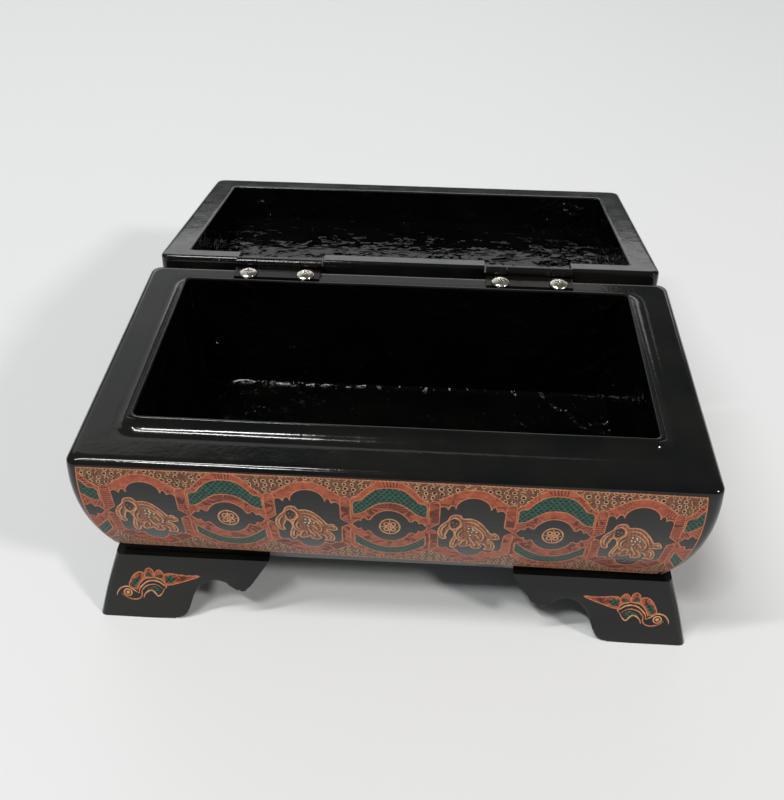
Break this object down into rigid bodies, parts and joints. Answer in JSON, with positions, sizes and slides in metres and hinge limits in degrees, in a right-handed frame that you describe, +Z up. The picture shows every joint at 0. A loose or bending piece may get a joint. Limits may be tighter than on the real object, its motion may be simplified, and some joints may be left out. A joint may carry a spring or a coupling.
{
  "type": "jewelry box",
  "caption": "Lacquered wooden jewelry box with rounded walls, ledge and raised lip, splayed ogee bracket feet and a hinged lid that opens past flat.",
  "frame": {"origin": "on the table, under the middle of the box between its four feet", "axes": "+X along the width to the right, +Y from the front to the hinged back, +Z up"},
  "size_m": [0.1602, 0.1654, 0.062],
  "materials": {
    "black_lacquer": "high gloss black lacquer with incised coloured decoration",
    "hinge_steel": "pressed steel lacquered black, rubbed at the edges",
    "screw_steel": "bright plated steel, slightly yellowed"
  },
  "bodies": {
    "base": {"base_front_board": "black_lacquer", "base_back_board": "black_lacquer", "base_left_end_board": "black_lacquer", "base_right_end_board": "black_lacquer", "base_bottom_board": "black_lacquer", "front_left_foot_long_bracket": "black_lacquer", "front_left_foot_end_bracket": "black_lacquer", "front_right_foot_long_bracket": "black_lacquer", "front_right_foot_end_bracket": "black_lacquer", "back_left_foot_long_bracket": "black_lacquer", "back_left_foot_end_bracket": "black_lacquer", "back_right_foot_long_bracket": "black_lacquer", "back_right_foot_end_bracket": "black_lacquer", "left_hinge_base_leaf": "hinge_steel", "left_hinge_base_screws": "screw_steel", "left_hinge_pin": "screw_steel", "right_hinge_base_leaf": "hinge_steel", "right_hinge_base_screws": "screw_steel", "right_hinge_pin": "screw_steel"},
    "lid": {"lid_front_board": "black_lacquer", "lid_back_board": "black_lacquer", "lid_left_end_board": "black_lacquer", "lid_right_end_board": "black_lacquer", "lid_top_panel": "black_lacquer", "left_hinge_lid_leaf": "hinge_steel", "left_hinge_lid_screws": "hinge_steel", "right_hinge_lid_leaf": "hinge_steel", "right_hinge_lid_screws": "hinge_steel"}
  },
  "joints": [
    {"name": "lid_hinge", "type": "hinge", "parent": "base", "child": "lid", "pos_m": [0, 0.0418, 0.0605], "axis": [1, 0, 0], "range_deg": [0, 192]}
  ]
}
